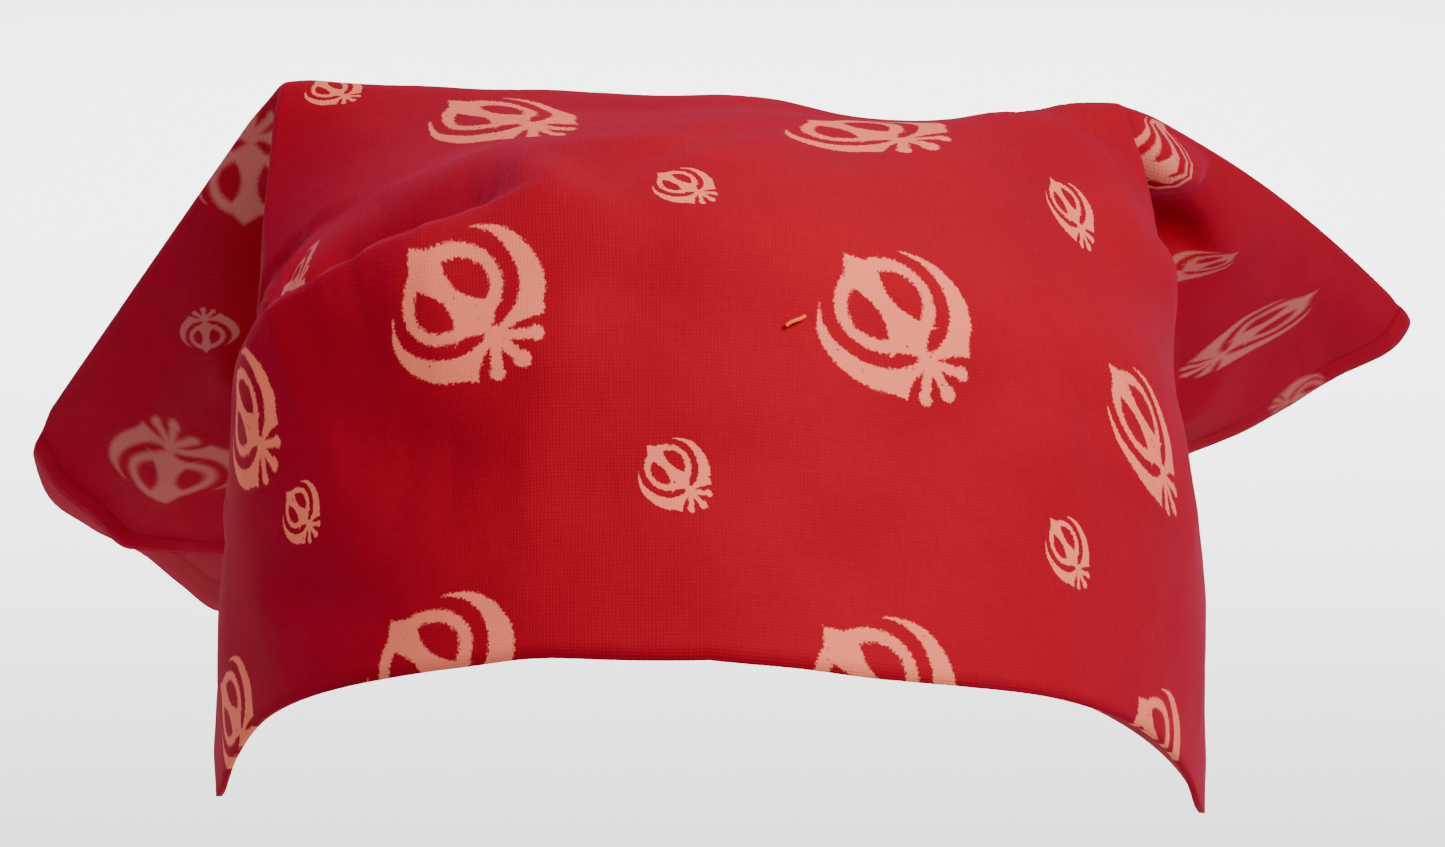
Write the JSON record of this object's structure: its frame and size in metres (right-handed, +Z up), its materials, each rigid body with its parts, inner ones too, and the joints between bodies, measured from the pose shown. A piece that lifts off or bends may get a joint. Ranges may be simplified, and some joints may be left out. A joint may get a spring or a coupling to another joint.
{
  "type": "rumal head wrap",
  "caption": "Square of printed cotton folded corner to corner and tied round the head: a box-shaped crown with a band low at the nape, two folded wings behind, a fall over the back and a small knot with two ends",
  "frame": {"origin": "middle of the head opening, level with the middle of the brow edge", "axes": "+X to the right of the front view, +Y to the back of the head, +Z up"},
  "size_m": [0.2687, 0.2147, 0.1338],
  "materials": {
    "printed_cotton": "fine plain-woven red cotton, matt, with pale block-printed emblems",
    "knotted_cotton": "the same red cotton, gathered and twisted, matt"
  },
  "bodies": {
    "root": {"crown": "printed_cotton", "left_wing": "printed_cotton", "right_wing": "printed_cotton", "back_fall": "printed_cotton", "knot": "knotted_cotton", "left_tie_end": "knotted_cotton", "right_tie_end": "knotted_cotton"}
  },
  "joints": []
}
